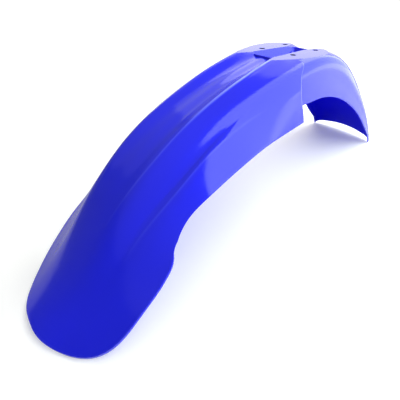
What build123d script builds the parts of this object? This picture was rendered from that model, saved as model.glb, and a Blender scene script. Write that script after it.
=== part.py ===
"""Motocross front mudguard: one moulded shell with a centre channel, four bolt pads and fork reliefs.

Millimetres. +X points to the nose, +Y to the rider's left and +Z up.
The origin is the centre of the four bolt holes, on the flat top of the pads.
"""
import os
from build123d import *

# Reach of the nose and of the tail from the centre of the bolt holes
NOSE_REACH = 469.0
TAIL_REACH = 323.0

# Moulded wall
WALL = 3.0
PAD_THICKNESS = 4.5

# Bolt pattern on the pads
HOLE_SPACING_X = 62.0
HOLE_SPACING_Y = 64.0
HOLE_DIAMETER = 8.5

# Pocket between the pads
POCKET_FRONT = 66.0
POCKET_REAR = -38.0
POCKET_DEPTH = 15.0
POCKET_HALF_FRONT = 24.0
POCKET_HALF_REAR = 17.5
POCKET_CORNER = 6.0

# Ridge line in side view, from behind the tail to ahead of the nose
SPINE = [(-345, -266), (-324, -233), (-250, -143), (-150, -58), (-50, 0), (15, 8), (85, -1), (151, -18)]
SPINE += [(202, -36.5), (266, -67.4), (347, -131), (405, -188), (470, -241), (500, -260)]

# Sections square to the ridge: place, drops at the centre and channel foot, then half-widths with their drop
FRONT = [
    (40, 7.0, 7.0, (28, 0), (46, 2.6), (60, 6.6), (68.5, 10.8), (75, 24), (80, 45), (86.5, 97)),
    (72, 7.0, 7.0, (30, 0), (46, 2.9), (59.5, 7.7), (68.5, 12.8), (75.5, 26), (80, 45), (86.5, 95)),
    (110, 6.8, 6.8, (31, 0), (46, 3.2), (58, 8.3), (67, 14.8), (73, 27), (79, 47), (87.5, 92)),
    (163, 5.4, 5.4, (31, 0), (46, 3.8), (56, 9), (64, 15.8), (69.5, 24), (79, 47), (91, 81)),
    (205, 4.2, 4.2, (31.5, 0), (46, 4.2), (55.5, 9.6), (63, 16.4), (70, 21.6), (80, 38), (95, 71)),
    (242, 3.0, 3.0, (32.5, 0), (47, 5.2), (57, 11.8), (64, 18), (71, 21), (81, 34), (98, 63)),
    (278, 1.8, 1.8, (34, 0), (49, 6.6), (58.5, 13.3), (65.5, 19.1), (72.5, 21.6), (84, 32.5), (103, 55)),
    (310, 0.6, 0.6, (35, 0.4), (49.5, 7.2), (58.5, 13.4), (65, 18), (72.5, 20.8), (87, 32), (109, 49)),
    (345, -0.2, 0.1, (35, 1.2), (49.5, 7), (57.5, 12), (64, 15.9), (72, 19.2), (92, 31.5), (118, 44.5)),
    (371, 0.0, 0.4, (34, 1.9), (49, 7), (57.3, 11.4), (64, 14.8), (72, 18.2), (93, 29.6), (122, 42.4)),
    (396, 0.0, 0.8, (33, 2.7), (48, 7.4), (57.5, 11.4), (64.5, 14.4), (72.5, 17.5), (92.5, 26), (123, 36)),
    (421, 0.0, 1.0, (32, 3.4), (47.5, 7.9), (58, 11.7), (65, 14.3), (73, 17.2), (92, 24.2), (123, 34)),
    (448, 0.0, 1.1, (31, 3.6), (47, 8), (58, 11.8), (65.5, 14.4), (73, 17.1), (91, 23.4), (123, 33.4)),
]
FRONT += [(place, *FRONT[-1][1:]) for place in (468, 488)]
REAR = [
    (78, 7.7, 7.7, (30, 0.8), (46, 3.8), (57, 7.8), (64.5, 12.6), (69, 20), (70.3, 40), (70.5, 82)),
    (45, 7.7, 7.7, (29, 0.8), (46, 3.5), (57.5, 6.9), (65, 11.4), (69.3, 19), (70.3, 39), (70.5, 80)),
    (0, 8.0, 8.0, (30, 0.5), (46, 2.5), (58, 5.4), (65.8, 9.4), (69.8, 17), (70.5, 36), (70.5, 75)),
    (-56, 6.0, 6.0, (30, 0.5), (46, 1.4), (59, 4), (66.5, 8.2), (70.2, 16), (70.9, 34), (70.8, 71)),
    (-105, 3.0, 3.0, (30, 0.3), (46, 0.6), (60, 2.3), (67.3, 6.4), (71.2, 14), (72, 31), (72, 66)),
    (-152, 1.2, 1.2, (30, 0.2), (46, 0.5), (61, 1.7), (68.8, 5.6), (73, 13), (74.5, 28), (75.3, 58)),
    (-204, 0.2, 0.2, (30, 0.3), (46, 0.9), (62, 2.6), (71, 6.8), (76.3, 14), (78.6, 26), (80, 51)),
    (-256, 0.0, 0.2, (30, 0.8), (46, 2.2), (64, 5.2), (74.5, 9.6), (80.5, 16.5), (83.4, 26), (85, 46)),
    (-310, 0.0, 0.5, (30, 1.8), (46, 4.4), (65, 8.6), (77, 13), (84.5, 18.5), (88, 26), (90, 42)),
    (-342, 0.0, 0.6, (30, 2.0), (46, 5), (66, 10), (78, 14.4), (86.5, 20), (90.5, 28), (93, 44)),
]

# Spacing of the lofted sections from each place forward, closer where the walls twist
STEPS = [(-400, 12), (-170, 16), (200, 12), (290, 15), (380, 22)]

# Half-width of the channel floor as a share of the ridge's
FOOT = 0.55

# Rear edge of the front panels in side view, bowed forward around the fork legs
FORK_EDGE = [(46, 30), (46, 2), (50, -5), (59, -14), (64, -27), (64.5, -40), (61, -56), (55, -84)]
FORK_EDGE += [(53, -100)]

# Tail end as drawn, then the lower edge in side view: the rear arch, and the front skirt from fork to ear
TAIL_END = -323.0
ARCH = [(-340, -292), (-303, -243), (-261, -206), (-202, -154), (-133, -106), (-88, -84), (-44, -70)]
ARCH += [(-9, -64.5)]
SKIRT = [(40, -82.8), (92, -87), (140, -90.4), (181, -95.6), (218, -103.6), (253, -113), (285, -128)]
SKIRT += [(316, -157)]

# Outline of the nose seen from above, from the ear to the tip
EAR = [(286, 101), (303, 99.5), (313, 102.5), (320.5, 108), (331, 110.7)]
NOSE = [(374, 112.1), (402, 109), (424.5, 98.5), (442, 81), (456, 58), (465.5, 34), (469, 0)]


def guide_at(curve, x):
    """Returns the point of a side-view curve at a given X, and its direction there."""
    low = 0.0
    high = 1.0
    for _ in range(40):
        middle = (low + high) / 2
        if curve.position_at(middle, PositionMode.PARAMETER).X < x:
            low = middle
        else:
            high = middle
    return curve.position_at(low, PositionMode.PARAMETER), curve.tangent_at(low, PositionMode.PARAMETER)


def spacing():
    """Returns the spacing shared by every section curve, so that their points line up along the shell."""
    widths = [0, 17, 31, 47, 58, 65.5, 73, 90, 125]
    half = [w / widths[-1] / 2 for w in widths]
    return [0.5 - h for h in reversed(half)] + [0.5 + h for h in half[1:]]


def placed(points):
    """Returns drawn points, stretched past the pocket so that the two ends come to their reach."""
    ahead = (NOSE_REACH - POCKET_FRONT) / (NOSE[-1][0] - POCKET_FRONT)
    behind = (TAIL_REACH + POCKET_REAR) / (POCKET_REAR - TAIL_END)
    moved = []
    for x, *rest in points:
        if x > POCKET_FRONT:
            x = POCKET_FRONT + (x - POCKET_FRONT) * ahead
        if x < POCKET_REAR:
            x = POCKET_REAR + (x - POCKET_REAR) * behind
        moved.append((x, *rest))
    return moved


def stations(first, last):
    """Returns the places of the lofted sections between two ends."""
    places = [min(first, last)]
    end = max(first, last)
    while places[-1] < end:
        step = [size for place, size in STEPS if place <= places[-1]][-1]
        places.append(places[-1] + step if places[-1] + 1.5 * step < end else end)
    return places


def tracks(rows):
    """Returns the smooth lines that the section points follow, as place, half-width and drop."""
    lines = [[] for _ in rows[0][1:]]
    for place, centre, foot, *points in rows:
        half = [(0, centre), (points[0][0] * FOOT, foot), *points]
        for line, point in zip(lines, half):
            line.append((place, *point))
    return [Spline(*sorted(line)) for line in lines]


def section(spine, lines, inset, station, depth):
    """Returns one closed section of the body, drawn square to the ridge line.

    inset is how far it lies inside the outer face, and depth how far its open foot reaches down.
    """
    half = [guide_at(line, station)[0] for line in lines]
    flat = [Vector(-point.Y, point.Z) for point in reversed(half[1:])]
    flat += [Vector(point.Y, point.Z) for point in half]
    edge = Edge.make_spline(flat, parameters=spacing())
    moved = []
    for place in spacing():
        point = edge.position_at(place, PositionMode.PARAMETER)
        along = edge.tangent_at(place, PositionMode.PARAMETER)
        moved.append((point.X - along.Y * inset, point.Y + along.X * inset))
    origin, forward = guide_at(spine, station)
    down = Vector(forward.Z, 0, -forward.X)
    across = Vector(0, 1, 0)
    top = [origin + across * y + down * n for y, n in moved]
    feet = [origin + across * moved[k][0] + down * depth for k in (-1, 0)]
    foot = Polyline(top[-1], *feet, top[0])
    return Wire([Edge.make_spline(top, parameters=spacing()), *foot.edges()])


def body(spine, rows, inset, depth):
    """Returns the solid body through sections at close steps, its far end run on by twice the inset."""
    rows = placed(rows)
    first = rows[0][0]
    last = rows[-1][0]
    over = 2 * inset if last > first else -2 * inset
    lines = tracks(rows)
    sections = [section(spine, lines, inset, place, depth) for place in stations(first, last + over)]
    return Solid.make_loft(sections, ruled=True)


def ahead_of_fork(gap):
    """Returns the space ahead of the rear edge of the front panels, moved forward by gap."""
    edge = Spline(*[(x + gap, z) for x, z in FORK_EDGE])
    rest = Polyline(edge @ 1, (edge @ 1 + Vector(0, -300)), (600, -400), (600, 100), edge @ 0)
    return extrude(Plane.XZ * make_face(edge + rest), amount=200, both=True)


def under(*points):
    """Returns the space below a smooth side-view line through the points."""
    first = points[0]
    last = points[-1]
    line = Spline(*points) + Polyline(last, (last[0], -500), (first[0], -500), first)
    return extrude(Plane.XZ * make_face(line), amount=300, both=True)


def pocket(grow, floor):
    """Returns the recess between the pads, widened by grow."""
    front = POCKET_FRONT + grow
    rear = POCKET_REAR - grow
    wide = POCKET_HALF_FRONT + grow
    slim = POCKET_HALF_REAR + grow
    outline = Polyline((front, -wide), (front, wide), (rear, slim), (rear, -slim), close=True)
    base = fillet(make_face(outline).vertices(), POCKET_CORNER)
    return extrude(Plane.XY.offset(-floor) * base, amount=60)


spine = Spline(*[(x, 0, z) for x, z in placed(SPINE)])
arch = placed(ARCH)

# Outer body: the wide front over the narrow rear, each trimmed to its lower edge
front = (body(spine, FRONT, 0, 140) & ahead_of_fork(0)) - under(*placed(SKIRT))
rear = body(spine, REAR, 0, 140) - under(*arch) - under(arch[-1], (REAR[0][0] + 20, arch[-1][1]))
outer = front + rear

# Inner body, one wall further in
inner = (body(spine, FRONT, WALL, 180) & ahead_of_fork(WALL)) + body(spine, REAR, WALL, 180)

# Flat bolt pads and the pocket between them
above = Pos(0, 0, 50) * Box(400, 400, 100)
outer = outer - above - pocket(0, POCKET_DEPTH)
inner = inner - Pos(0, 0, -PAD_THICKNESS) * above - pocket(WALL, POCKET_DEPTH + WALL)
shell = outer - inner

# Tail cut square to the ridge
end, forward = guide_at(spine, -TAIL_REACH)
behind = Plane(origin=end, x_dir=(0, 1, 0), z_dir=forward) * Pos(0, 0, -100) * Box(600, 600, 200)

# Rounded nose with its ears
half = placed(EAR + NOSE)
rim = Spline(*half, *[(x, -y) for x, y in reversed(half[:-1])])
keep = rim + Line(rim @ 1, rim @ 0)
ahead = Pos(half[0][0] + 200, 0, -200) * Box(400, 500, 1000)
ahead -= extrude(Plane.XY.offset(-600) * make_face(keep), amount=900)

# Bolt holes
holes = GridLocations(HOLE_SPACING_X, HOLE_SPACING_Y, 2, 2) * Cylinder(HOLE_DIAMETER / 2, 40)

part = shell - behind - ahead - holes
os.makedirs("parts", exist_ok=True)
export_step(part, "parts/front_mudguard.step")
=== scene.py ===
"""Studio scene of a motocross front mudguard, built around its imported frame."""
import logging
import math
from collections.abc import Callable, Sequence
from dataclasses import dataclass, field
from enum import Enum
from functools import cached_property
from typing import ClassVar

import bpy
import numpy as np
from mathutils import Euler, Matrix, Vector
from numpy.typing import ArrayLike


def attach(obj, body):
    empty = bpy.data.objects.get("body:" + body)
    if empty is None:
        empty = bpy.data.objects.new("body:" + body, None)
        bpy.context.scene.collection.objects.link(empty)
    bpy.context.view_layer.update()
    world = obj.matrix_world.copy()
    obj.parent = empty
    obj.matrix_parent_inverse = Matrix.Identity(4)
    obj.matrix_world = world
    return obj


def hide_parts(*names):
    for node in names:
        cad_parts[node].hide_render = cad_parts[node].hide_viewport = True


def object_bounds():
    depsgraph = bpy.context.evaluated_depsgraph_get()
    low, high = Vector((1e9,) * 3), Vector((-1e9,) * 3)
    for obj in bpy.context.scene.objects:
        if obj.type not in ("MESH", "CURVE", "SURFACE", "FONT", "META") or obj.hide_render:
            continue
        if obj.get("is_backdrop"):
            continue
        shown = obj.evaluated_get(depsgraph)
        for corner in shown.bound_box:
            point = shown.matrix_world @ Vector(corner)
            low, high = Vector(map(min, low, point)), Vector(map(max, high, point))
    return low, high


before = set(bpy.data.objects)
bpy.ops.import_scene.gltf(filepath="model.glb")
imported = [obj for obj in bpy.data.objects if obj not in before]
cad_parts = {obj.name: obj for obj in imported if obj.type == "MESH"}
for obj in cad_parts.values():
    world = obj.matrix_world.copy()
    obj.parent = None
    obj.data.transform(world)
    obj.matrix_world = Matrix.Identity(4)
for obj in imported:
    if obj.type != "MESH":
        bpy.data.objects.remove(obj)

LOG = logging.getLogger("mudguard")
NODE = "front_mudguard"
IMAGE_SIZE = 400
MM = 0.001
# Half-width of every section in its own measure, in millimetres.
SECTION_HALF = 125.0
# Columns of the mesh on each side of the centre, before the crests add theirs.
COLUMNS_PER_SIDE = 52
# Distance past a rim, in millimetres, for a point that the rim doesn't bound.
NEVER_PAST = -1000.0

Colour = tuple[float, float, float]
Triple = tuple[float, float, float]
Point = tuple[float, float]
Row = tuple[float, float, float, Point, Point, Point, Point, Point, Point, Point]
Measure = Callable[[np.ndarray], np.ndarray]
Socket = bpy.types.NodeSocket


class Skin(Enum):
    """The two faces of the moulded wall."""

    OUTER = "outer"
    INNER = "inner"


class Change(Enum):
    """What a block does to the shell, with Blender's word for it."""

    JOIN = "UNION"
    CUT = "DIFFERENCE"


def bend_matrix(places: np.ndarray) -> np.ndarray:
    """Works out how a cubic curve bends at its points.

    Args:
        places: Where the curve's points lie along it.

    Returns:
        The matrix that turns the points' values into second derivatives, with parabolic ends.
    """
    gap = np.diff(places)
    count = len(places)
    slope = np.zeros((count - 1, count))
    for k in range(count - 1):
        slope[k, k : k + 2] = (-1 / gap[k], 1 / gap[k])
    left = np.zeros((count, count))
    right = np.zeros((count, count))
    for k in range(1, count - 1):
        left[k, k - 1 : k + 2] = (gap[k - 1], 2 * (gap[k - 1] + gap[k]), gap[k])
        right[k] = 6 * (slope[k] - slope[k - 1])
    left[0, :2] = (2, 1)
    right[0] = 6 * (slope[1] - slope[0]) / (gap[0] + gap[1])
    left[-1, -2:] = (1, 2)
    right[-1] = 6 * (slope[-1] - slope[-2]) / (gap[-1] + gap[-2])
    return np.linalg.solve(left, right)


def cubic(
    gap: np.ndarray, ahead: np.ndarray, ends: Sequence[np.ndarray], bends: Sequence[np.ndarray]
) -> tuple[np.ndarray, np.ndarray]:
    """Evaluates pieces of a cubic curve.

    Args:
        gap: Length of each piece.
        ahead: How far along its piece each place lies.
        ends: Values at the start and end of each piece, as a pair of arrays.
        bends: Second derivatives there, as a pair of arrays.

    Returns:
        The values and the slopes at those places.
    """
    back = gap - ahead
    value = (bends[0] * back**3 + bends[1] * ahead**3) / (6 * gap)
    value += (ends[0] / gap - bends[0] * gap / 6) * back + (ends[1] / gap - bends[1] * gap / 6) * ahead
    slope = (bends[1] * ahead**2 - bends[0] * back**2) / (2 * gap)
    slope += (ends[1] - ends[0]) / gap - (bends[1] - bends[0]) * gap / 6
    return value, slope


class SmoothCurve:
    """A cubic curve through points."""

    def __init__(self, places: ArrayLike, values: ArrayLike) -> None:
        """Fits the curve.

        Args:
            places: Where the points lie along the curve.
            values: The points, one row each.
        """
        self.places = np.asarray(places, float)
        self.values = np.asarray(values, float)
        self.bends = bend_matrix(self.places) @ self.values

    @classmethod
    def through(cls, points: list[Point]) -> "SmoothCurve":
        """Fits a curve whose places are the distances along its points."""
        steps = np.linalg.norm(np.diff(np.array(points, float), axis=0), axis=1)
        return cls(np.concatenate([[0], np.cumsum(steps)]), points)

    def at(self, place: np.ndarray) -> tuple[np.ndarray, np.ndarray]:
        """Evaluates the curve.

        Args:
            place: Places along it, in an array of any shape.

        Returns:
            The values and slopes there, with one more axis for the coordinates.
        """
        k = np.clip(np.searchsorted(self.places, place) - 1, 0, len(self.places) - 2)
        gap = (self.places[k + 1] - self.places[k])[..., None]
        ahead = (place - self.places[k])[..., None]
        pairs = [(some[k], some[k + 1]) for some in (self.values, self.bends)]
        return cubic(gap, ahead, *pairs)


class DrawnLine:
    """A line drawn in one view, which gives one coordinate for the other."""

    SAMPLES = 2000

    def __init__(self, points: list[Point]) -> None:
        """Draws the line.

        Args:
            points: Its points, whose first coordinate rises or falls all the way.
        """
        curve = SmoothCurve.through(points)
        drawn = curve.at(np.linspace(0, curve.places[-1], self.SAMPLES))[0]
        self.known, self.given = drawn[np.argsort(drawn[:, 0])].T

    def at(self, known: np.ndarray) -> np.ndarray:
        """Returns the other coordinate, held at its end value past an end."""
        return np.interp(known, self.known, self.given)


class Graded:
    """A value that changes evenly between stations and is held past its ends."""

    def __init__(self, points: list[Point]) -> None:
        """Takes the stations, in rising order, with the value at each."""
        self.known, self.given = np.array(points, float).T

    def at(self, station: np.ndarray) -> np.ndarray:
        """Returns the value at some stations."""
        return np.interp(station, self.known, self.given)


@dataclass(frozen=True)
class Search:
    """Evenly spaced places at which a crossing is looked for.

    Attributes:
        start: The first place.
        end: The last place.
        count: How many there are.
    """

    start: float
    end: float
    count: int

    @property
    def places(self) -> np.ndarray:
        """The places in order."""
        return np.linspace(self.start, self.end, self.count)


# The tables below are in millimetres. A station is the X of a section's place on the crown.

# The crown in side view, as X and Z from the tail to the nose.
SPINE: list[Point] = [
    (-345, -266), (-324, -233), (-250, -143), (-150, -58), (-50, 0), (15, 8), (85, -1),
    (151, -18), (202, -36.5), (266, -67.4), (347, -131), (405, -188), (470, -241), (500, -260),
]
# The front's sections: station, drop at the centre, drop at the channel's foot, then the half-width
# and drop of each point from the ridge to the rim.
FRONT_ROWS: list[Row] = [
    (40, 7.0, 7.0, (28, 0), (46, 2.6), (60, 6.6), (68.5, 10.8), (75, 24), (80, 45), (86.5, 97)),
    (72, 7.0, 7.0, (30, 0), (46, 2.9), (59.5, 7.7), (68.5, 12.8), (75.5, 26), (80, 45), (86.5, 95)),
    (110, 6.8, 6.8, (31, 0), (46, 3.2), (58, 8.3), (67, 14.8), (73, 27), (79, 47), (87.5, 92)),
    (163, 5.4, 5.4, (31, 0), (46, 3.8), (56, 9), (64, 15.8), (69.5, 24), (79, 47), (91, 81)),
    (205, 4.2, 4.2, (31.5, 0), (46, 4.2), (55.5, 9.6), (63, 16.4), (70, 21.6), (80, 38), (95, 71)),
    (242, 3.0, 3.0, (32.5, 0), (47, 5.2), (57, 11.8), (64, 18), (71, 21), (81, 34), (98, 63)),
    (278, 1.8, 1.8, (34, 0), (49, 6.6), (58.5, 13.3), (65.5, 19.1), (72.5, 21.6), (84, 32.5), (103, 55)),
    (310, 0.6, 0.6, (35, 0.4), (49.5, 7.2), (58.5, 13.4), (65, 18), (72.5, 20.8), (87, 32), (109, 49)),
    (345, -0.2, 0.1, (35, 1.2), (49.5, 7), (57.5, 12), (64, 15.9), (72, 19.2), (92, 31.5), (118, 44.5)),
    (371, 0.0, 0.4, (34, 1.9), (49, 7), (57.3, 11.4), (64, 14.8), (72, 18.2), (93, 29.6), (122, 42.4)),
    (396, 0.0, 0.8, (33, 2.7), (48, 7.4), (57.5, 11.4), (64.5, 14.4), (72.5, 17.5), (92.5, 26), (123, 36)),
    (421, 0.0, 1.0, (32, 3.4), (47.5, 7.9), (58, 11.7), (65, 14.3), (73, 17.2), (92, 24.2), (123, 34)),
    (448, 0.0, 1.1, (31, 3.6), (47, 8), (58, 11.8), (65.5, 14.4), (73, 17.1), (91, 23.4), (123, 33.4)),
]
# The last section runs on past the nose, whose outline cuts it off.
FRONT_ROWS += [(place, *FRONT_ROWS[-1][1:]) for place in (468, 488)]
# The rear's sections, laid out as the front's.
REAR_ROWS: list[Row] = [
    (-342, 0.0, 0.6, (30, 2.0), (46, 5), (66, 10), (78, 14.4), (86.5, 20), (90.5, 28), (93, 44)),
    (-310, 0.0, 0.5, (30, 1.8), (46, 4.4), (65, 8.6), (77, 13), (84.5, 18.5), (88, 26), (90, 42)),
    (-256, 0.0, 0.2, (30, 0.8), (46, 2.2), (64, 5.2), (74.5, 9.6), (80.5, 16.5), (83.4, 26), (85, 46)),
    (-204, 0.2, 0.2, (30, 0.3), (46, 0.9), (62, 2.6), (71, 6.8), (76.3, 14), (78.6, 26), (80, 51)),
    (-152, 1.2, 1.2, (30, 0.2), (46, 0.5), (61, 1.7), (68.8, 5.6), (73, 13), (74.5, 28), (75.3, 58)),
    (-105, 3.0, 3.0, (30, 0.3), (46, 0.6), (60, 2.3), (67.3, 6.4), (71.2, 14), (72, 31), (72, 66)),
    (-56, 6.0, 6.0, (30, 0.5), (46, 1.4), (59, 4), (66.5, 8.2), (70.2, 16), (70.9, 34), (70.8, 71)),
    (0, 8.0, 8.0, (30, 0.5), (46, 2.5), (58, 5.4), (65.8, 9.4), (69.8, 17), (70.5, 36), (70.5, 75)),
    (45, 7.7, 7.7, (29, 0.8), (46, 3.5), (57.5, 6.9), (65, 11.4), (69.3, 19), (70.3, 39), (70.5, 80)),
    (78, 7.7, 7.7, (30, 0.8), (46, 3.8), (57, 7.8), (64.5, 12.6), (69, 20), (70.3, 40), (70.5, 82)),
]
# The step at the fork in side view, as X and Z from the top down.
FORK_EDGE: list[Point] = [
    (46, 30), (46, 2), (50, -5), (59, -14), (64, -27), (64.5, -40), (61, -56), (55, -84), (53, -100),
]
# The rear's lower rim in side view, as X and Z.
ARCH: list[Point] = [
    (-340, -292), (-303, -243), (-261, -206), (-202, -154), (-133, -106), (-88, -84),
    (-44, -70), (-9, -64.5),
]
# The front skirt's lower rim in side view, as X and Z.
SKIRT: list[Point] = [
    (40, -82.8), (92, -87), (140, -90.4), (181, -95.6), (218, -103.6), (253, -113),
    (285, -128), (316, -157),
]
# The ears and the nose in plan, as X and half-width.
NOSE: list[Point] = [
    (286, 101), (303, 99.5), (313, 102.5), (320.5, 108), (331, 110.7), (374, 112.1), (402, 109),
    (424.5, 98.5), (442, 81), (456, 58), (465.5, 34), (469, 0),
]


@dataclass(frozen=True)
class CrestLine:
    """A crisp line along the skin, on both sides, with a column of the mesh to itself.

    Attributes:
        place: Half-width of the line in the section's own measure, by station.
        height: How far it stands up, or down if negative, by station.
        column: The column that follows it, counted from the centre.
        reach: How far the columns beside it give way, as a share of the half-width.
        widths: How far it takes to fall off towards the middle and towards the rim, in millimetres.
        painted_highlight: How strongly a pale painted highlight line is laid along it, by station.
        FOOT_WIDTHS: Widths at which the side towards the rim has fallen off altogether.
        FALL_POWER: How hollow that side is.
    """

    place: DrawnLine
    height: Graded
    column: int
    reach: float
    widths: Point
    painted_highlight: Graded
    FOOT_WIDTHS: ClassVar[float] = 2.2
    FALL_POWER: ClassVar[float] = 1.6

    @property
    def share(self) -> float:
        """The column's share of the half-width."""
        return self.column / COLUMNS_PER_SIDE

    def offset(self, station: np.ndarray, place: np.ndarray) -> np.ndarray:
        """Returns how far places across sections lie from the line, positive towards the rim."""
        return abs(place) * SECTION_HALF - self.place.at(station)

    def rise(self, station: np.ndarray, place: np.ndarray) -> np.ndarray:
        """Works out how far the line lifts the skin.

        Args:
            station: X of each point's section on the crown.
            place: Where the point lies across its section, from -1 to 1.

        Returns:
            The height there in millimetres.
        """
        off = self.offset(station, place)
        inward = np.exp(np.minimum(off, 0) / self.widths[0])
        outward = np.clip(1 - off / (self.FOOT_WIDTHS * self.widths[1]), 0, 1) ** self.FALL_POWER
        return self.height.at(station) * np.where(off < 0, inward, outward)


RIDGE_CREST = CrestLine(
    place=DrawnLine([
        (-360, 31), (-100, 31), (40, 32), (110, 34), (145, 34.5), (170, 34), (205, 33.5), (235, 33.4),
        (294, 30.6), (333, 25.5), (400, 24), (500, 24),
    ]),
    height=Graded([
        (-60, 0), (20, 0.5), (60, 1.6), (145, 1.8), (190, 1.6), (226, 1.1), (250, 0.8), (300, 0.5),
        (360, 0),
    ]),
    column=17,
    reach=0.12,
    widths=(9.0, 1.6),
    # The ridge's painted highlight line, by station.
    painted_highlight=Graded([
        (0, 0), (50, 0.8), (145, 1), (170, 0.9), (208, 0.5), (243, 0.18), (300, 0.12), (360, 0),
    ]),
)
SWAGE_FOOT = CrestLine(
    place=DrawnLine([
        (-360, 68.5), (160, 68.5), (240, 68.3), (273, 67), (310, 64), (345, 61), (400, 60), (500, 60),
    ]),
    height=Graded([
        (110, 0), (150, -0.4), (190, -0.55), (225, -1.0), (255, -1.0), (290, -0.7), (350, 0),
    ]),
    column=35,
    reach=0.045,
    widths=(5.0, 2.0),
    painted_highlight=Graded([(0, 0)]),
)
SWAGE_EDGE = CrestLine(
    place=DrawnLine([
        (-360, 77), (160, 77), (216, 76), (273, 74), (310, 71.6), (345, 68.5), (400, 67), (500, 67),
    ]),
    height=Graded([(140, 0), (185, 0.6), (240, 0.7), (290, 0.6), (345, 0.35), (380, 0)]),
    column=39,
    reach=0.045,
    widths=(2.5, 1.2),
    # The swage edge's faint painted highlight line, by station.
    painted_highlight=Graded([(140, 0), (185, 0.1), (290, 0.1), (340, 0.06), (370, 0)]),
)


class RidgeLine:
    """The crown of the shell in side view, which the sections hang from."""

    SAMPLES = 8000

    def __init__(self, points: list[Point]) -> None:
        """Draws the line.

        Args:
            points: X and Z of its points, from the tail to the nose.
        """
        self.curve = SmoothCurve.through(points)
        self.along = np.linspace(0, self.curve.places[-1], self.SAMPLES)
        self.station = self.curve.at(self.along)[0][:, 0]

    def at(self, station: np.ndarray) -> tuple[np.ndarray, np.ndarray]:
        """Finds the crown at some stations.

        Args:
            station: X of each section on the crown.

        Returns:
            The crown's points and unit directions there, in side view.
        """
        point, slope = self.curve.at(np.interp(station, self.station, self.along))
        return point, slope / np.linalg.norm(slope, axis=-1, keepdims=True)


class Loft:
    """One skin of the shell through a table of sections.

    Attributes:
        FOOT: Where the channel's foot lies, as a share of the ridge's half-width.
        WIDTHS: The section's own measure of its points, from the centre to the rim.
    """

    FOOT = 0.55
    WIDTHS = np.array([0, 17, 31, 47, 58, 65.5, 73, 90, SECTION_HALF])

    def __init__(self, ridge: RidgeLine, rows: list[Row], crests: tuple[CrestLine, ...]) -> None:
        """Fits smooth lines along the sections' points.

        Args:
            ridge: The crown that the sections hang from.
            rows: Station, drops at the centre and channel foot, then half-widths with their drop.
            crests: The crisp lines on the skin.
        """
        self.ridge = ridge
        self.crests = crests
        half = [[(0, centre), (side[0][0] * self.FOOT, foot), *side] for _, centre, foot, *side in rows]
        whole = [[(-out, drop) for out, drop in reversed(side[1:])] + side for side in half]
        self.along = SmoothCurve([row[0] for row in rows], np.array(whole, float).reshape(len(rows), -1))
        self.knots = np.concatenate([-self.WIDTHS[:0:-1], self.WIDTHS]) / SECTION_HALF
        self.bending = bend_matrix(self.knots)

    def point(self, station: np.ndarray, place: np.ndarray, inset: float) -> np.ndarray:
        """Finds points of the skin.

        Args:
            station: X of each point's section on the crown.
            place: Where the point lies across its section, from -1 to 1.
            inset: Depth of the skin under the outer one.

        Returns:
            The points in millimetres, with one more axis for X, Y and Z.
        """
        values = self.along.at(station)[0].reshape(*station.shape, len(self.knots), 2)
        bends = np.einsum("ij,...jk->...ik", self.bending, values)
        k = np.clip(np.searchsorted(self.knots, place) - 1, 0, len(self.knots) - 2)
        gap = (self.knots[k + 1] - self.knots[k])[..., None]
        ahead = (place - self.knots[k])[..., None]
        picked = [
            np.take_along_axis(some, (k + j)[..., None, None], -2)[..., 0, :]
            for some in (values, bends)
            for j in (0, 1)
        ]
        flat, slope = cubic(gap, ahead, picked[:2], picked[2:])
        slope /= np.linalg.norm(slope, axis=-1, keepdims=True)
        across = flat[..., 0] - slope[..., 1] * inset
        drop = flat[..., 1] + slope[..., 0] * inset
        if inset == 0:
            for crest in self.crests:
                drop = drop - crest.rise(station, place)
        origin, forward = self.ridge.at(station)
        x = origin[..., 0] + forward[..., 1] * drop
        z = origin[..., 1] - forward[..., 0] * drop
        return np.stack([x, across, z], -1)


def first_crossing(places: np.ndarray, beyond: np.ndarray) -> np.ndarray:
    """Finds where a measure first turns positive.

    Args:
        places: The sampled places, which the last axis of beyond follows.
        beyond: The measure at each of them.

    Returns:
        The place of the first change of sign, or the last place where there is none.
    """
    crossed = np.maximum(np.argmax(beyond > 0, axis=-1), 1)
    after = np.take_along_axis(beyond, crossed[..., None], -1)[..., 0]
    before = np.take_along_axis(beyond, crossed[..., None] - 1, -1)[..., 0]
    share = np.clip(before / np.where(before == after, 1, before - after), 0, 1)
    found = places[crossed - 1] + share * (places[crossed] - places[crossed - 1])
    return np.where((beyond > 0).any(-1), found, places[-1])


@dataclass(frozen=True)
class Mottle:
    """A noise that stays on the object.

    Attributes:
        scale: How many lumps lie along a metre.
        detail: How many finer layers it has.
        stretch: How much closer the lumps lie along each axis.
        ends: The part of its range that is read.
    """

    scale: float
    detail: float
    stretch: Triple = (1.0, 1.0, 1.0)
    ends: Point = (0.0, 1.0)


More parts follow.
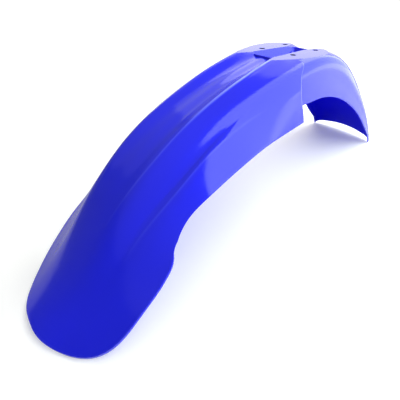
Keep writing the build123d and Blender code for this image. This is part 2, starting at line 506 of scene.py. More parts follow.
class Nodes:
    """Adds and links the nodes of one material or world."""

    def __init__(self, made: bpy.types.Material | bpy.types.World) -> None:
        """Turns the nodes of a material or world on."""
        made.use_nodes = True
        self.tree = made.node_tree

    def add(self, kind: str, **settings: object) -> bpy.types.Node:
        """Adds a node.

        Args:
            kind: The node's type.
            settings: Its properties; a name with a capital sets the input of that name.

        Returns:
            The node.
        """
        node = self.tree.nodes.new(kind)
        for name, value in settings.items():
            if name[0].isupper():
                node.inputs[name].default_value = value
            else:
                setattr(node, name, value)
        return node

    def link(self, source: Socket, target: Socket) -> None:
        """Links an output to an input."""
        self.tree.links.new(source, target)

    def ranged(self, source: Socket, ends: Point, values: Point) -> Socket:
        """Maps a value from one range onto another.

        Args:
            source: The value.
            ends: The range that it is read over.
            values: What the ends give.

        Returns:
            The mapped value.
        """
        node = self.add("ShaderNodeMapRange")
        for name, value in zip(("From Min", "From Max", "To Min", "To Max"), (*ends, *values)):
            node.inputs[name].default_value = value
        self.link(source, node.inputs["Value"])
        return node.outputs["Result"]

    def maths(self, operation: str, one: Socket, two: Socket) -> Socket:
        """Works out one value from two.

        Args:
            operation: The kind of sum.
            one: The first value.
            two: The second value.

        Returns:
            The result.
        """
        node = self.add("ShaderNodeMath", operation=operation)
        self.link(one, node.inputs[0])
        self.link(two, node.inputs[1])
        return node.outputs[0]

    def mixed(self, share: Socket, base: Socket | Colour, other: Colour) -> Socket:
        """Mixes a colour into another.

        Args:
            share: How much of it is mixed in, from 0 to 1.
            base: The colour that it is mixed into, plain or from a node.
            other: The colour that is mixed in.

        Returns:
            The mixed colour.
        """
        node = self.add("ShaderNodeMix", data_type="RGBA")
        self.link(share, node.inputs["Factor"])
        if isinstance(base, Socket):
            self.link(base, node.inputs["A"])
        else:
            node.inputs["A"].default_value = (*base, 1)
        node.inputs["B"].default_value = (*other, 1)
        return node.outputs["Result"]

    def attribute(self, name: str) -> Socket:
        """Reads a value that the mesh carries."""
        return self.add("ShaderNodeAttribute", attribute_name=name).outputs["Fac"]

    def noise(self, mottle: Mottle) -> Socket:
        """Adds a noise.

        Args:
            mottle: The noise.

        Returns:
            Its value from 0 to 1.
        """
        place = self.add("ShaderNodeTexCoord").outputs["Object"]
        turn = self.add("ShaderNodeMapping", Scale=mottle.stretch)
        node = self.add("ShaderNodeTexNoise", Scale=mottle.scale, Detail=mottle.detail)
        self.link(place, turn.inputs["Vector"])
        self.link(turn.outputs["Vector"], node.inputs["Vector"])
        return node.outputs["Fac"]

    def mottled(self, mottle: Mottle, values: Point) -> Socket:
        """Adds a noise that runs between two values over the part of its range that is read."""
        return self.ranged(self.noise(mottle), mottle.ends, values)


@dataclass(frozen=True)
class MouldedPlastic:
    """Injection-moulded plastic, coloured right through, with faint flow, grain and scuffs.

    Attributes:
        name: The material's name.
        colour: The plastic's colour.
        roughness: The surface's mean roughness.
        grain: Strength of the fine grain.
        waviness: Strength of the slow waves.
        shine: The shader's specular level.
        FLOW: Clouds in the pigment.
        SCUFFS: Scuff marks on the rims.
        PATCHES: Dull patches.
        WIPES: Fine wiping marks, long along the guard.
        WAVES: Slow waves of the moulding.
        GRAINS: Its fine grain.
        CLOUDED: Factors on the colour in the darkest and the palest clouds.
        PAINTED_HIGHLIGHT: What a painted highlight line adds to the colour, along the crests and fork
            edges.
        SCUFFED: What a scuff mark adds to the colour.
        SCUFF_MOST: How much of a scuff mark shows at most.
        PATCHED: Factors on the roughness in clean and in dull patches.
        WIPED: What a wiping mark adds, as a share of the roughness.
        WAVE_DEPTH: Depth of the waves in metres, at a strength of 1.
        GRAIN_DEPTH: Depth of the grain in metres, at a strength of 1.
        IOR: The plastic's index of refraction.
    """

    name: str
    colour: Colour
    roughness: float
    grain: float
    waviness: float
    shine: float
    FLOW: ClassVar[Mottle] = Mottle(7.0, 2.0, (0.6, 1.0, 1.0), (0.3, 0.7))
    SCUFFS: ClassVar[Mottle] = Mottle(160.0, 4.0, ends=(0.45, 0.75))
    PATCHES: ClassVar[Mottle] = Mottle(16.0, 3.0, ends=(0.3, 0.7))
    WIPES: ClassVar[Mottle] = Mottle(42.0, 5.0, (0.5, 9.0, 9.0), (0.56, 0.72))
    WAVES: ClassVar[Mottle] = Mottle(11.0, 1.0)
    GRAINS: ClassVar[Mottle] = Mottle(900.0, 3.0)
    CLOUDED: ClassVar[Point] = (0.93, 1.06)
    # A pale line painted along the crests and fork edges: a painted highlight for the light they catch.
    PAINTED_HIGHLIGHT: ClassVar[Colour] = (0.22, 0.26, 0.12)
    SCUFFED: ClassVar[Colour] = (0.035, 0.035, 0.035)
    SCUFF_MOST: ClassVar[float] = 0.6
    PATCHED: ClassVar[Point] = (0.85, 1.15)
    WIPED: ClassVar[float] = 0.35
    WAVE_DEPTH: ClassVar[float] = 2.0 * MM
    GRAIN_DEPTH: ClassVar[float] = 0.2 * MM
    IOR: ClassVar[float] = 1.5

    def toned(self, factor: float) -> Colour:
        """Returns the colour, darker or lighter by a factor."""
        return tuple(part * factor for part in self.colour)

    def paler(self, added: Colour) -> Colour:
        """Returns the colour with something added to each of its parts."""
        return tuple(part + more for part, more in zip(self.colour, added))

    def tinted(self, nodes: Nodes) -> Socket:
        """Clouds the colour a little, as pigment flows in a mould, pales it with scuffs on the rims, and
        paints highlight lines along the crests and fork edges.

        Args:
            nodes: The material's nodes.

        Returns:
            The colour.
        """
        darkest, palest = self.CLOUDED
        flow = nodes.mottled(self.FLOW, (0.0, 1.0))
        cloud = nodes.mixed(flow, self.toned(darkest), self.toned(palest))
        # Painted highlight lines along the crests and fork edges.
        line = nodes.mixed(nodes.attribute("painted_highlight"), cloud, self.paler(self.PAINTED_HIGHLIGHT))
        marks = nodes.mottled(self.SCUFFS, (0.0, self.SCUFF_MOST))
        scuff = nodes.maths("MULTIPLY", nodes.attribute("rim"), marks)
        return nodes.mixed(scuff, line, self.paler(self.SCUFFED))

    def gloss(self, nodes: Nodes) -> Socket:
        """Dulls the surface in faint patches and fine wiping marks.

        Args:
            nodes: The material's nodes.

        Returns:
            The roughness.
        """
        clean, dull = self.PATCHED
        patch = nodes.mottled(self.PATCHES, (self.roughness * clean, self.roughness * dull))
        wipe = nodes.mottled(self.WIPES, (0.0, self.roughness * self.WIPED))
        return nodes.maths("ADD", patch, wipe)

    def relief(self, nodes: Nodes) -> Socket:
        """Raises the moulding's slow waviness and its fine grain.

        Args:
            nodes: The material's nodes.

        Returns:
            The bumped normal.
        """
        wave = nodes.add("ShaderNodeBump", Strength=self.waviness, Distance=self.WAVE_DEPTH)
        nodes.link(nodes.noise(self.WAVES), wave.inputs["Height"])
        grain = nodes.add("ShaderNodeBump", Strength=self.grain, Distance=self.GRAIN_DEPTH)
        nodes.link(nodes.noise(self.GRAINS), grain.inputs["Height"])
        nodes.link(wave.outputs["Normal"], grain.inputs["Normal"])
        return grain.outputs["Normal"]

    def material(self) -> bpy.types.Material:
        """Builds the node material.

        Returns:
            The finished material.
        """
        made = bpy.data.materials.new(self.name)
        nodes = Nodes(made)
        shader = nodes.tree.nodes["Principled BSDF"]
        nodes.link(self.tinted(nodes), shader.inputs["Base Color"])
        nodes.link(self.gloss(nodes), shader.inputs["Roughness"])
        nodes.link(self.relief(nodes), shader.inputs["Normal"])
        shader.inputs["IOR"].default_value = self.IOR
        shader.inputs["Specular IOR Level"].default_value = self.shine
        return made


BLUE_GLOSS = MouldedPlastic(
    "blue_gloss", (0.009, 0.014, 0.8), roughness=0.13, grain=0.02, waviness=0.03, shine=0.5
)
BLUE_SATIN = MouldedPlastic(
    "blue_satin", (0.001, 0.0005, 0.62), roughness=0.5, grain=0.12, waviness=0.03, shine=0.02
)
# Near-black painted shade for the bolt holes' walls, which stands in for the shade inside them.
PAINTED_BORE_SHADE = MouldedPlastic(
    "painted_bore_shade", (0.004, 0.003, 0.03), roughness=0.7, grain=0.3, waviness=0.03, shine=0.05
)


def vertex_places(piece: bpy.types.Object) -> np.ndarray:
    """Reads where a piece's vertices are.

    Args:
        piece: The piece.

    Returns:
        One row of X, Y and Z for each vertex.
    """
    places = np.zeros(len(piece.data.vertices) * 3)
    piece.data.vertices.foreach_get("co", places)
    return places.reshape(-1, 3)


def move_vertices(piece: bpy.types.Object, places: np.ndarray) -> None:
    """Moves each of a piece's vertices to its row of places."""
    piece.data.vertices.foreach_set("co", places.ravel())
    piece.data.update()


def add_values(piece: bpy.types.Object, name: str, domain: str, values: np.ndarray) -> None:
    """Gives a piece's points or edges a value each, under a name and on Blender's domain of that kind."""
    made = piece.data.attributes.new(name, "FLOAT", domain)
    made.data.foreach_set("value", values.astype(np.float32))


@dataclass(frozen=True)
class GridOrder:
    """Where the vertices of a grid lie in a table of points.

    Attributes:
        row: Each vertex's row.
        column: Each vertex's column.
        SIDE: Side of the grid while it is flat.
    """

    row: np.ndarray
    column: np.ndarray
    SIDE: ClassVar[float] = 2.0

    @classmethod
    def of(cls, grid: bpy.types.Object, rows: int, columns: int) -> "GridOrder":
        """Reads the order from a grid that is still flat.

        Args:
            grid: The grid.
            rows: How many rows the table has.
            columns: How many columns the table has.

        Returns:
            The order.
        """
        share = vertex_places(grid)[:, :2] / cls.SIDE + 0.5
        row = np.rint(share[:, 0] * (rows - 1)).astype(int)
        column = np.rint(share[:, 1] * (columns - 1)).astype(int)
        return cls(row, column)

    def pick(self, table: np.ndarray) -> np.ndarray:
        """Returns each vertex's entry of a table."""
        return table[self.row, self.column]


@dataclass
class Shell:
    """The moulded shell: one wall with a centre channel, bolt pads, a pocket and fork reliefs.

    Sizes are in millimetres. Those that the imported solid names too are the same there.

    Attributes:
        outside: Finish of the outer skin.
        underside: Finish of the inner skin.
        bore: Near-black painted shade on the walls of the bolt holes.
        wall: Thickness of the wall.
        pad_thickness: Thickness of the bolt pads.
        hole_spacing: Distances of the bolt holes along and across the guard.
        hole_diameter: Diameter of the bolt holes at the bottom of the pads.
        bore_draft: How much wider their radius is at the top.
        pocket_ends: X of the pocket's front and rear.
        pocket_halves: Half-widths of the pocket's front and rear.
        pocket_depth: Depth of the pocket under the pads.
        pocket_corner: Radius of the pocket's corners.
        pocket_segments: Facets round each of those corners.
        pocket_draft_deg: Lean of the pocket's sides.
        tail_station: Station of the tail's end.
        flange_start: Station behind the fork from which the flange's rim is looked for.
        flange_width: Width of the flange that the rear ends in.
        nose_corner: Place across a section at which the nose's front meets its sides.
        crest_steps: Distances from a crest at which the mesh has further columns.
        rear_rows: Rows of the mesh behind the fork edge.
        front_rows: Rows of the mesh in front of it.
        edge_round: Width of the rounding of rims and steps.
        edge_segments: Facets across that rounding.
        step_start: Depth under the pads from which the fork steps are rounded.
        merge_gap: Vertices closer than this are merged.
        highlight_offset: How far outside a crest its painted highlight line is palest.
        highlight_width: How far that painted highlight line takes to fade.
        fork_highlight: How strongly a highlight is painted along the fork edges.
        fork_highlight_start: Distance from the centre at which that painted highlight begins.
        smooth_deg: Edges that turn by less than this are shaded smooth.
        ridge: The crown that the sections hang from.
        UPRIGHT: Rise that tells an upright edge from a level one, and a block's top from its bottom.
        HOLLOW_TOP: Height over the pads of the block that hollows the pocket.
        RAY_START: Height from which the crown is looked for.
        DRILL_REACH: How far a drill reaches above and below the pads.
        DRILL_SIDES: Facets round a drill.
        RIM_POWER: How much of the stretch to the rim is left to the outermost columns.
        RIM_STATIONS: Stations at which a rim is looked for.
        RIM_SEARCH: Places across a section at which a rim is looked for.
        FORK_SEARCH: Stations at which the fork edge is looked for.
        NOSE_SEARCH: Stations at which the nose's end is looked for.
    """

    outside: MouldedPlastic
    underside: MouldedPlastic
    bore: MouldedPlastic
    wall: float = 3.0
    pad_thickness: float = 4.5
    hole_spacing: Point = (62.0, 64.0)
    hole_diameter: float = 8.5
    bore_draft: float = 0.75
    pocket_ends: Point = (66.0, -38.0)
    pocket_halves: Point = (24.0, 17.5)
    pocket_depth: float = 15.0
    pocket_corner: float = 6.0
    pocket_segments: int = 8
    pocket_draft_deg: float = 24.0
    tail_station: float = -323.0
    flange_start: float = 20.0
    flange_width: float = 2.0
    nose_corner: float = 0.7832
    crest_steps: tuple[float, ...] = (0.5, 1.1, 1.9, 2.8)
    rear_rows: int = 130
    front_rows: int = 150
    edge_round: float = 0.7
    edge_segments: int = 3
    step_start: float = 2.0
    merge_gap: float = 0.02
    highlight_offset: float = 0.6
    highlight_width: float = 1.1
    fork_highlight: float = 0.5
    fork_highlight_start: float = 48.0
    smooth_deg: float = 32.0
    ridge: RidgeLine = field(default_factory=lambda: RidgeLine(SPINE))
    UPRIGHT: ClassVar[float] = 1.0
    HOLLOW_TOP: ClassVar[float] = 6.0
    RAY_START: ClassVar[float] = 50.0
    DRILL_REACH: ClassVar[float] = 20.0
    DRILL_SIDES: ClassVar[int] = 48
    RIM_POWER: ClassVar[int] = 6
    RIM_STATIONS: ClassVar[int] = 240
    RIM_SEARCH: ClassVar[Search] = Search(0.55, 1.0, 220)
    FORK_SEARCH: ClassVar[Search] = Search(30.0, 110.0, 400)
    NOSE_SEARCH: ClassVar[Search] = Search(380.0, 500.0, 500)

    @property
    def finishes(self) -> tuple[MouldedPlastic, ...]:
        """The finishes in the order of the mesh's material slots."""
        return (self.outside, self.underside, self.bore)

    @cached_property
    def front(self) -> Loft:
        """The wide skin from the fork to the nose."""
        return Loft(self.ridge, FRONT_ROWS, (RIDGE_CREST, SWAGE_FOOT, SWAGE_EDGE))

    @cached_property
    def rear(self) -> Loft:
        """The narrow skin from the fork to the tail."""
        return Loft(self.ridge, REAR_ROWS, (RIDGE_CREST,))

    @cached_property
    def column(self) -> np.ndarray:
        """The columns' shares of the half-width, from -1 to 1, with more of them along the crests."""
        even = np.linspace(-1, 1, 2 * COLUMNS_PER_SIDE + 1)
        step = np.array(self.crest_steps) / (self.nose_corner * SECTION_HALF)
        extra = [
            side * (crest.share + way * step)
            for crest in self.front.crests
            for side in (-1, 1)
            for way in (-1, 1)
        ]
        return np.sort(np.concatenate([even, *extra]))

    def past_front(self, point: np.ndarray) -> np.ndarray:
        """Measures how far points of the front lie past its skirt, ear or nose.

        Args:
            point: The points, with X, Y and Z on the last axis.

        Returns:
            The distance past the rim, negative inside it.
        """
        x, y, z = np.moveaxis(point, -1, 0)
        skirt = np.where(x < SKIRT[-1][0], DrawnLine(SKIRT).at(x) - z, NEVER_PAST)
        nose = np.maximum(abs(y) - DrawnLine(NOSE).at(x), x - NOSE[-1][0])
        return np.maximum(skirt, np.where(x > NOSE[0][0], nose, NEVER_PAST))

    def past_rear(self, point: np.ndarray) -> np.ndarray:
        """Measures how far points of the rear lie under its arch."""
        return DrawnLine(ARCH).at(point[..., 0]) - point[..., 2]

    def past_flange(self, point: np.ndarray) -> np.ndarray:
        """Measures how far points of the fork flange lie under the front skirt."""
        return DrawnLine(SKIRT).at(point[..., 0]) - point[..., 2]

    def stretched(self, share: np.ndarray | float, rim: np.ndarray) -> np.ndarray:
        """Returns places that are even near the centre and stretch out to the rim at a share of 1."""
        return share * self.nose_corner + share**self.RIM_POWER * (rim - self.nose_corner)

    def spread(self, loft: Loft, station: np.ndarray, rim: np.ndarray, column: np.ndarray) -> np.ndarray:
        """Spreads the columns over a section, evenly but for the crests and the stretch to the rim.

        Args:
            loft: The skin.
            station: Each section's station.
            rim: Place of the rim on each section.
            column: Each column's share of the half-width, from -1 to 1.

        Returns:
            Each column's place across its section.
        """
        share = abs(column)
        place = self.stretched(share, rim)
        for crest in loft.crests:
            shift = crest.place.at(station) / SECTION_HALF - self.stretched(crest.share, rim)
            place = place + shift * np.exp(-(((share - crest.share) / crest.reach) ** 2))
        return np.sign(column) * place

    def rim_line(self, loft: Loft, ends: Point, inset: float, past: Measure) -> Measure:
        """Finds the rim of a skin along its stations.

        Args:
            loft: The skin.
            ends: First and last station.
            inset: Depth of the skin.
            past: Measure of how far a point lies past the rim.

        Returns:
            A function that gives the rim's place at a station.
        """
        stations = np.linspace(*ends, self.RIM_STATIONS)
        places = self.RIM_SEARCH.places
        grid = np.meshgrid(stations, places, indexing="ij")
        rim = first_crossing(places, past(loft.point(*grid, inset)))
        return lambda station: np.maximum(np.interp(station, stations, rim), self.nose_corner)

    def fork_stations(self, loft: Loft, rim: Measure, inset: float) -> np.ndarray:
        """Finds where each column of a skin meets the fork edge.

        Args:
            loft: The skin.
            rim: The skin's rim line.
            inset: Depth of the skin, which also moves the edge forward.

        Returns:
            Each column's station there.
        """
        stations = self.FORK_SEARCH.places
        place = self.spread(loft, stations[None, :], rim(stations)[None, :], self.column[:, None])
        point = loft.point(np.broadcast_to(stations, place.shape), place, inset)
        edge = DrawnLine([(z, x) for x, z in FORK_EDGE]).at(point[..., 2]) + inset
        return first_crossing(stations, point[..., 0] - edge)

    def rear_points(self, inset: float) -> np.ndarray:
        """Lays out the rear of a skin, from the tail to the end of its flange at the fork edge.

        Args:
            inset: Depth of the skin.

        Returns:
            The points in millimetres, by row and column, with the flange's end as the last row.
        """
        last = REAR_ROWS[-1][0]
        arch = self.rim_line(self.rear, (self.tail_station, last), inset, self.past_rear)
        meet = self.fork_stations(self.rear, arch, inset) - self.flange_width - inset
        share = np.linspace(0, 1, self.rear_rows)[:, None]
        station = self.tail_station + share * (meet - self.tail_station)
        place = self.spread(self.rear, station, arch(station), self.column)
        flange = self.rim_line(self.rear, (self.flange_start, last), inset, self.past_flange)
        end = self.fork_stations(self.rear, flange, inset)[None, :]
        end_place = self.spread(self.rear, end, flange(end), self.column)
        rows = self.rear.point(station, place, inset)
        return np.concatenate([rows, self.rear.point(end, end_place, inset)])

    def front_layout(self, inset: float) -> tuple[np.ndarray, np.ndarray]:
        """Lays out the front of a skin, from the fork edge to the nose.

        Args:
            inset: Depth of the skin.

        Returns:
            The station of each point and its place across its section, by row and column.
        """
        ends = (FRONT_ROWS[0][0], FRONT_ROWS[-1][0])
        skirt = self.rim_line(self.front, ends, inset, self.past_front)
        start = self.fork_stations(self.front, skirt, inset)
        stations = self.NOSE_SEARCH.places
        corner = np.array(self.nose_corner)
        across = self.spread(self.front, stations[None, :], corner, self.column[:, None])
        along = np.broadcast_to(stations, across.shape)
        end = first_crossing(stations, self.past_front(self.front.point(along, across, inset)))
        share = np.linspace(0, 1, self.front_rows)[:, None]
        station = start + share * (end - start)
        return station, self.spread(self.front, station, skirt(station), self.column)

    def skin(self, face: Skin) -> np.ndarray:
        """Lays out one skin of the wall as rows of points from tail to nose.

        Args:
            face: Which skin.

        Returns:
            The points in millimetres, by row and column.
        """
        inset = self.wall if face is Skin.INNER else 0.0
        front = self.front.point(*self.front_layout(inset), inset)
        points = np.concatenate([self.rear_points(inset), front])
        if face is Skin.INNER:
            # The underside of the pads is level, so the step at the fork has no height there.
            points[..., 2] = np.minimum(points[..., 2], -self.pad_thickness)
            level = points[self.rear_rows, :, 2] == points[self.rear_rows + 1, :, 2]
            points[self.rear_rows, level] = points[self.rear_rows + 1, level]
        return points

    def highlight_painting(self) -> np.ndarray:
        """Works out how strongly a pale highlight is painted onto the outer skin.

        Returns:
            The amount at each point, by row and column, with 1 as the most that a crest gives.
        """
        station, place = self.front_layout(0.0)
        front = np.zeros(station.shape)
        # Each crest gets a painted highlight line just outside it.
        for crest in self.front.crests:
            beside = (crest.offset(station, place) - self.highlight_offset) / self.highlight_width
            front += crest.painted_highlight.at(station) * np.exp(-(beside**2))
        # The fork edges get a painted highlight line as well.
        front[0] += self.fork_highlight * (abs(place[0]) * SECTION_HALF > self.fork_highlight_start)
        rear = np.zeros((self.rear_rows + 1, station.shape[1]))
        return np.concatenate([rear, front])

    def sheet(self) -> tuple[bpy.types.Object, GridOrder]:
        """Lays a flat grid and carries each of its vertices to the outer skin.

        Returns:
            The outer skin's object, and where its vertices lie in the skin's table.
        """
        points = self.skin(Skin.OUTER) * MM
        rows, columns = points.shape[:2]
        bpy.ops.object.select_all(action="DESELECT")
        bpy.ops.mesh.primitive_grid_add(
            x_subdivisions=rows - 1, y_subdivisions=columns - 1, size=GridOrder.SIDE
        )
        sheet = bpy.context.active_object
        sheet.name = "mudguard_shell"
        order = GridOrder.of(sheet, rows, columns)
        move_vertices(sheet, order.pick(points))
        for finish in self.finishes:
            sheet.data.materials.append(finish.material())
        return sheet, order

    def thicken(self, sheet: bpy.types.Object, order: GridOrder) -> None:
        """Gives the sheet its wall, with the inner skin at its own place.

        Args:
            sheet: The outer skin's object.
            order: Where its vertices lie in a skin's table.
        """
        count = len(sheet.data.vertices)
        solid = sheet.modifiers.new("wall", "SOLIDIFY")
        solid.thickness = self.wall * MM
        solid.offset = -1
        solid.material_offset = self.finishes.index(self.underside)
        bpy.ops.object.modifier_apply(modifier="wall")
        places = vertex_places(sheet)
        places[count:] = order.pick(self.skin(Skin.INNER) * MM)
        move_vertices(sheet, places)

    def round_edges(self, shell: bpy.types.Object, order: GridOrder) -> None:
        """Rounds the rims and the fork steps, notes where the rims are scuffed, and where highlights are
        painted.

        Args:
            shell: The shell, with the inner skin's vertices after the outer one's.
            order: Where a skin's vertices lie in its table.
        """
        row = np.tile(order.row, 2)
        column = np.tile(order.column, 2)
        inner = np.arange(len(row)) >= len(order.row)
        pairs = np.zeros(len(shell.data.edges) * 2, int)
        shell.data.edges.foreach_get("vertices", pairs)
        one, two = pairs.reshape(-1, 2).T
        along_row = row[one] == row[two]
        rim = along_row & np.isin(row[one], (0, row.max()))
        rim |= (column[one] == column[two]) & np.isin(column[one], (0, column.max()))
        height = vertex_places(shell)[:, 2]
        step = along_row & np.isin(row[one], (self.rear_rows, self.rear_rows + 1)) & ~inner[one]
        step &= np.maximum(height[one], height[two]) < -self.step_start * MM
        worn = np.zeros(len(row))
        worn[one[rim]] = 1
        worn[two[rim]] = 1
        add_values(shell, "rim", "POINT", worn)
        # Painted highlight lines on the outer skin.
        add_values(shell, "painted_highlight", "POINT", np.where(inner, 0, self.highlight_painting()[row, column]))
        add_values(shell, "bevel_weight_edge", "EDGE", (rim | step) & (inner[one] == inner[two]))
        bevel = shell.modifiers.new("edges", "BEVEL")
        bevel.limit_method = "WEIGHT"
        bevel.width = self.edge_round * MM
        bevel.segments = self.edge_segments
        bevel.use_clamp_overlap = False
        bpy.ops.object.modifier_apply(modifier="edges")
        shell.data.attributes.remove(shell.data.attributes["bevel_weight_edge"])

    def face_pads(self) -> None:
        """Cuts the crown of the active shell level, which leaves the two flat bolt pads."""
        bpy.ops.object.mode_set(mode="EDIT")
        bpy.ops.mesh.select_all(action="SELECT")
        bpy.ops.mesh.remove_doubles(threshold=self.merge_gap * MM)
        bpy.ops.mesh.select_all(action="SELECT")
        bpy.ops.mesh.bisect(plane_co=(0, 0, 0), plane_no=(0, 0, 1), use_fill=True, clear_outer=True)
        bpy.ops.mesh.mark_sharp()
        bpy.ops.object.mode_set(mode="OBJECT")

    def prism(self, name: str, grow: float, low: float, high: float) -> bpy.types.Object:
        """Makes a block with the outline of the pocket.

        Args:
            name: The block's name.
            grow: How far its outline lies outside the pocket's.
            low: Height of its bottom.
            high: Height of its top.

        Returns:
            The block's object.
        """
        bpy.ops.object.select_all(action="DESELECT")
        bpy.ops.mesh.primitive_cube_add(size=2)
        block = bpy.context.active_object
        block.name = name
        for corner in block.data.vertices:
            fore = corner.co.x > 0
            z = high if corner.co.z > 0 else low
            out = grow + z * math.tan(math.radians(self.pocket_draft_deg))
            half = self.pocket_halves[0 if fore else 1] + out
            x = self.pocket_ends[0] + out if fore else self.pocket_ends[1] - out
            corner.co = Vector((x, math.copysign(half, corner.co.y), z)) * MM
        bpy.ops.object.mode_set(mode="EDIT")
        bpy.ops.mesh.select_all(action="DESELECT")
        bpy.ops.object.mode_set(mode="OBJECT")
        for edge in block.data.edges:
            ends = [block.data.vertices[k].co for k in edge.vertices]
            edge.select = abs(ends[0].z - ends[1].z) > self.UPRIGHT * MM
        bpy.ops.object.mode_set(mode="EDIT")
        bpy.ops.mesh.select_mode(type="EDGE")
        radius = (self.pocket_corner + grow) * MM
        bpy.ops.mesh.bevel(offset=radius, segments=self.pocket_segments, affect="EDGES")
        bpy.ops.object.mode_set(mode="OBJECT")
        return block

    def combine(self, shell: bpy.types.Object, block: bpy.types.Object, change: Change) -> None:
        """Joins or cuts the shell with a block, which is then removed.

        Args:
            shell: The shell.
            block: The block that is added or taken away.
            change: Which of the two.
        """
        bpy.context.view_layer.objects.active = shell
        modifier = shell.modifiers.new("change", "BOOLEAN")
        modifier.operation = change.value
        modifier.object = block
        modifier.solver = "EXACT"
        bpy.ops.object.modifier_apply(modifier="change")
        bpy.data.meshes.remove(block.data)

    def sink_pocket(self, shell: bpy.types.Object) -> None:
        """Lets the pocket's tray into the crown and hollows it out.

        Args:
            shell: The shell.
        """
        tray = self.prism("tray", self.wall, -self.pocket_depth - self.wall, 0)
        # The tray's top ends halfway through the wall, so that it doesn't show on the crown.
        for corner in tray.data.vertices:
            if corner.co.z > -self.UPRIGHT * MM:
                above = Vector((corner.co.x, corner.co.y, self.RAY_START * MM))
                hit = shell.ray_cast(above, Vector((0, 0, -1)))[1]
                corner.co.z = hit.z - self.wall / 2 * MM
        # That top is no longer flat, so the tray's faces are split into triangles.
        bpy.ops.object.mode_set(mode="EDIT")
        bpy.ops.mesh.select_all(action="SELECT")
        bpy.ops.mesh.quads_convert_to_tris()
        bpy.ops.object.mode_set(mode="OBJECT")
        self.combine(shell, tray, Change.JOIN)
        hollow = self.prism("hollow", 0, -self.pocket_depth, self.HOLLOW_TOP)
        self.combine(shell, hollow, Change.CUT)

    def drill(self, shell: bpy.types.Object, x: float, y: float) -> None:
        """Drills one bolt hole, a little wider at the top.

        Args:
            shell: The shell.
            x: Place of the hole along the guard.
            y: Place of the hole across the guard.
        """
        flare = self.bore_draft / self.pad_thickness * self.DRILL_REACH
        mouth = self.hole_diameter / 2 + self.bore_draft
        bpy.ops.object.select_all(action="DESELECT")
        bpy.ops.mesh.primitive_cone_add(
            vertices=self.DRILL_SIDES,
            radius1=(mouth - flare) * MM,
            radius2=(mouth + flare) * MM,
            depth=2 * self.DRILL_REACH * MM,
            location=(x * MM, y * MM, 0),
        )
        bit = bpy.context.active_object
        for finish in self.finishes:
            bit.data.materials.append(bpy.data.materials[finish.name])
        # The bore's walls take the near-black painted shade.
        for face in bit.data.polygons:
            face.material_index = self.finishes.index(self.bore)
        self.combine(shell, bit, Change.CUT)

    def build(self) -> bpy.types.Object:
        """Builds and dresses the shell.

        Returns:
            The shell's object, riding on the root body.
        """
        shell, order = self.sheet()
        self.thicken(shell, order)
        self.round_edges(shell, order)
        self.face_pads()
        self.sink_pocket(shell)
        for along in (-1, 1):
            for across in (-1, 1):
                self.drill(shell, along * self.hole_spacing[0] / 2, across * self.hole_spacing[1] / 2)
        bpy.ops.object.select_all(action="DESELECT")
        shell.select_set(True)
        bpy.context.view_layer.objects.active = shell
        bpy.ops.object.shade_smooth_by_angle(angle=math.radians(self.smooth_deg))
        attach(shell, "root")
        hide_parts(NODE)
        return shell


@dataclass(frozen=True)
class Softbox:
    """A large soft lamp that faces the object.

    Attributes:
        name: The lamp's name.
        azimuth_deg: Where it hangs round the object, from the nose towards the guard's left.
        elevation_deg: How high it hangs over the object.
        distance: Its distance in metres.
        size: Its width and height in metres.
        radiance: Its brightness, as a reflection shows it.
        colour: Its colour.
    """

    name: str
    azimuth_deg: float
    elevation_deg: float
    distance: float
    size: Point
    radiance: float
    colour: Colour

    def hang(self, target: Vector) -> bpy.types.Object:
        """Hangs the lamp in its place.

        Args:
            target: The point that it faces.

        Returns:
            The lamp's object.
        """
        lamp = bpy.data.lights.new(self.name, "AREA")
        lamp.shape = "RECTANGLE"
        lamp.size = self.size[0]
        lamp.size_y = self.size[1]
        lamp.energy = self.radiance * math.pi * self.size[0] * self.size[1]
        lamp.color = self.colour
        azimuth = math.radians(self.azimuth_deg)
        elevation = math.radians(self.elevation_deg)
        level = math.cos(elevation)
        away = Vector((math.cos(azimuth) * level, math.sin(azimuth) * level, math.sin(elevation)))
        held = bpy.data.objects.new(self.name, lamp)
        held.location = target + away * self.distance
        held.rotation_euler = (-away).to_track_quat("-Z", "Y").to_euler()
        held.visible_camera = False
        bpy.context.scene.collection.objects.link(held)
        return held


@dataclass(frozen=True)
class Card:
    """A dull studio card on the floor, which only reflections show.

    Attributes:
        name: The card's name.
        size: Width and height in metres.
        place: Where its middle is, with the height over the floor last.
        turn_deg: Its tilt up from lying flat, then its turn about the vertical.
        colour: Its colour.
        roughness: Its roughness.
    """

    name: str
    size: Point
    place: Triple
    turn_deg: Point
    colour: Colour
    roughness: float = 0.95

    def stand(self, height: float) -> bpy.types.Object:
        """Puts the card in its place.

        Args:
            height: The floor's height in metres.

        Returns:
            The card's object.
        """
        bpy.ops.object.select_all(action="DESELECT")
        bpy.ops.mesh.primitive_plane_add(size=1)
        card = bpy.context.active_object
        card.name = self.name
        card.scale = (*self.size, 1)
        card.location = Vector(self.place) + Vector((0, 0, height))
        tilt, turn = self.turn_deg
        card.rotation_euler = (math.radians(tilt), 0, math.radians(turn))
        made = bpy.data.materials.new(self.name)
        shader = Nodes(made).tree.nodes["Principled BSDF"]
        shader.inputs["Base Color"].default_value = (*self.colour, 1)
        shader.inputs["Roughness"].default_value = self.roughness
        card.data.materials.append(made)
        card.visible_camera = False
        card.visible_diffuse = False
        card.visible_shadow = False
        card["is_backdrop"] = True
        return card


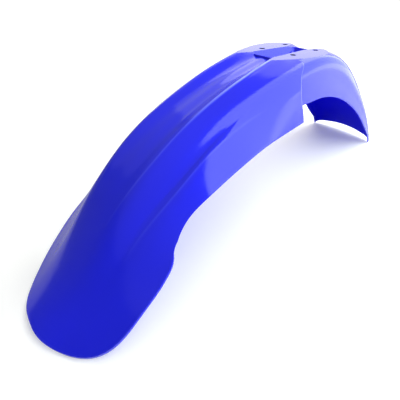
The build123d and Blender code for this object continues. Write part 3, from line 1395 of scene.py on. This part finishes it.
@dataclass
class Studio:
    """Floor, light and camera, as in the photograph.

    Attributes:
        floor_size: Side of the floor in metres.
        floor_colour: The floor's colour.
        floor_roughness: The floor's roughness.
        floor_lift: How much the floor is lifted towards white, near its middle and far out.
        floor_reach: Distances from its middle over which the lift grows, in metres.
        horizon: Strength of the room's light at the horizon.
        zenith: Strength of the room's light overhead.
        target: The point that the lamps face.
        softboxes: The lamps.
        cards: The cards that reflections show.
        focal_px: The photograph's focal length in pixels.
        centre_px: Where the camera's axis meets the photograph, from its top left corner.
        place: The camera's place in metres.
        turn_deg: The camera's turn about X, Y and Z.
        sensor_mm: Width of the camera's sensor.
        nearest: Distance from which the camera sees, in metres.
    """

    floor_size: float = 30.0
    floor_colour: Colour = (0.95, 0.93, 0.88)
    floor_roughness: float = 0.9
    floor_lift: Point = (0.15, 0.95)
    floor_reach: Point = (0.6, 1.9)
    horizon: float = 0.16
    zenith: float = 0.6
    target: Triple = (0.12, 0.03, -0.06)
    softboxes: tuple[Softbox, ...] = (
        Softbox("key_softbox", 135, 29.5, 1.0, (1.9, 1.62), 2.8, (0.92, 1.02, 1.1)),
        Softbox("rear_softbox", -158, 33, 1.2, (1.5, 1.5), 1.25, (1.0, 1.0, 1.0)),
        Softbox("far_softbox", -112, 42, 1.3, (0.85, 1.2), 0.5, (1.0, 1.0, 1.0)),
    )
    cards: tuple[Card, ...] = (
        Card("dark_flag", (1.4, 0.3), (0.58, -0.3, 0.15), (90, 40), (0.1, 0.1, 0.11)),
        Card("floor_flag", (1.4, 0.9), (0.4, -0.47, 0.002), (0, 0), (0.4, 0.38, 0.54)),
    )
    focal_px: float = 243.44
    centre_px: Point = (253.8, 191.34)
    place: Triple = (0.3763, 0.2781, 0.0770)
    turn_deg: Triple = (50.11, -1.592, 133.907)
    sensor_mm: float = 36.0
    nearest: float = 0.01

    def floor(self, height: float) -> bpy.types.Object:
        """Lays the pale floor under the object, lifted towards white where it is seen.

        Args:
            height: The floor's height in metres.

        Returns:
            The floor's object.
        """
        bpy.ops.object.select_all(action="DESELECT")
        bpy.ops.mesh.primitive_plane_add(size=self.floor_size, location=(0, 0, height))
        plane = bpy.context.active_object
        plane.name = "floor"
        made = bpy.data.materials.new("pale_floor")
        nodes = Nodes(made)
        shader = nodes.tree.nodes["Principled BSDF"]
        shader.inputs["Base Color"].default_value = (*self.floor_colour, 1)
        shader.inputs["Roughness"].default_value = self.floor_roughness
        shader.inputs["Specular IOR Level"].default_value = 0.0
        shader.inputs["Emission Color"].default_value = (1, 1, 1, 1)
        path = nodes.add("ShaderNodeLightPath").outputs
        shiny = nodes.maths("MAXIMUM", path["Is Glossy Ray"], path["Is Transmission Ray"])
        seen = nodes.maths("MAXIMUM", path["Is Camera Ray"], shiny)
        far = nodes.add("ShaderNodeVectorMath", operation="LENGTH")
        nodes.link(nodes.add("ShaderNodeTexCoord").outputs["Object"], far.inputs[0])
        lift = nodes.ranged(far.outputs["Value"], self.floor_reach, self.floor_lift)
        nodes.link(nodes.maths("MULTIPLY", seen, lift), shader.inputs["Emission Strength"])
        plane.data.materials.append(made)
        plane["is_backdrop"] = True
        return plane

    def light(self) -> list[bpy.types.Object]:
        """Hangs the softboxes and returns them."""
        return [softbox.hang(Vector(self.target)) for softbox in self.softboxes]

    def room(self) -> bpy.types.World:
        """Dims the room from its ceiling down to the horizon, and keeps colours as they are written.

        Returns:
            The room's world.
        """
        world = bpy.data.worlds.new("studio")
        bpy.context.scene.world = world
        nodes = Nodes(world)
        way = nodes.add("ShaderNodeSeparateXYZ")
        nodes.link(nodes.add("ShaderNodeTexCoord").outputs["Generated"], way.inputs["Vector"])
        background = nodes.tree.nodes["Background"]
        background.inputs["Color"].default_value = (1, 1, 1, 1)
        level = nodes.ranged(way.outputs["Z"], (0, 1), (self.horizon, self.zenith))
        seen = nodes.add("ShaderNodeLightPath").outputs["Is Camera Ray"]
        nodes.link(nodes.maths("MAXIMUM", level, seen), background.inputs["Strength"])
        bpy.context.scene.view_settings.view_transform = "Standard"
        return world

    def camera(self) -> bpy.types.Object:
        """Sets the camera where the photograph was taken from.

        Returns:
            The camera's object.
        """
        data = bpy.data.cameras.new("photo")
        data.sensor_width = self.sensor_mm
        data.lens = self.focal_px / IMAGE_SIZE * self.sensor_mm
        data.shift_x = 0.5 - self.centre_px[0] / IMAGE_SIZE
        data.shift_y = self.centre_px[1] / IMAGE_SIZE - 0.5
        data.clip_start = self.nearest
        held = bpy.data.objects.new("photo", data)
        held.location = self.place
        held.rotation_euler = Euler([math.radians(turn) for turn in self.turn_deg])
        bpy.context.scene.collection.objects.link(held)
        bpy.context.scene.camera = held
        return held


def main() -> None:
    """Builds the shell and its studio."""
    logging.basicConfig(level=logging.INFO, format="%(name)s: %(message)s")
    cad_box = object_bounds()
    shell = Shell(BLUE_GLOSS, BLUE_SATIN, PAINTED_BORE_SHADE).build()
    LOG.info("%s has %d faces", shell.name, len(shell.data.polygons))
    studio = Studio()
    floor_height = cad_box[0].z
    LOG.info("%s lies at %.4f m", studio.floor(floor_height).name, floor_height)
    for card in studio.cards:
        LOG.info("%s is in place", card.stand(floor_height).name)
    for lamp in studio.light():
        LOG.info("%s gives %.2f W", lamp.name, lamp.data.energy)
    LOG.info("%s is the world", studio.room().name)
    LOG.info("%s is the camera", studio.camera().name)


if __name__ == "__main__":
    main()
